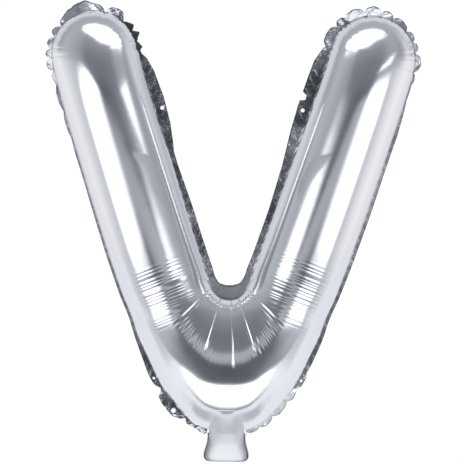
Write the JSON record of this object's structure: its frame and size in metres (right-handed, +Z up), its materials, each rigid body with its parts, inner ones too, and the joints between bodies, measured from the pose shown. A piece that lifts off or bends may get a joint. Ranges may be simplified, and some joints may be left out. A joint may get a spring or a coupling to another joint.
{
  "type": "letter V foil balloon",
  "caption": "Air-filled mirror-finish film balloon in the shape of a capital V, with a sealed edge, punched hanging tabs and a filling tail with a flat valve.",
  "frame": {"origin": "middle of the filling tail's lower end, where a stick, cup or ribbon holds the balloon up in the air", "axes": "+Z up from the tail through the middle of the V, seam plane at y = 0, front facing -Y, +X to the viewer's right"},
  "size_m": [0.2848, 0.0738, 0.349],
  "materials": {
    "silver_film": "mirror-bright metallised film with fine creases",
    "welded_edge": "crinkled, heat-sealed metallised film",
    "valve_film": "thin clear plastic film"
  },
  "bodies": {
    "root": {"front_film": "silver_film", "back_film": "silver_film", "sealed_edge_crotch": "welded_edge", "sealed_edge_inner_left": "welded_edge", "sealed_edge_inner_right": "welded_edge", "eyelet_tab_inner_left": "welded_edge", "eyelet_tab_inner_right": "welded_edge", "sealed_edge_tip_inner_left": "welded_edge", "sealed_edge_tip_inner_right": "welded_edge", "eyelet_tab_tip_left": "welded_edge", "eyelet_tab_tip_right": "welded_edge", "sealed_edge_tip_outer_left": "welded_edge", "sealed_edge_tip_outer_right": "welded_edge", "sealed_edge_outer_left": "welded_edge", "sealed_edge_outer_right": "welded_edge", "eyelet_tab_base_left": "welded_edge", "eyelet_tab_base_right": "welded_edge", "sealed_edge_base_right": "welded_edge", "sealed_edge_base_upper_left": "welded_edge", "eyelet_tab_low_left": "welded_edge", "sealed_edge_base_lower_left": "welded_edge", "tail_front_film": "silver_film", "tail_back_film": "silver_film", "tail_seal_left": "welded_edge", "tail_seal_right": "welded_edge", "valve_front_film": "valve_film", "valve_back_film": "valve_film"}
  },
  "joints": []
}
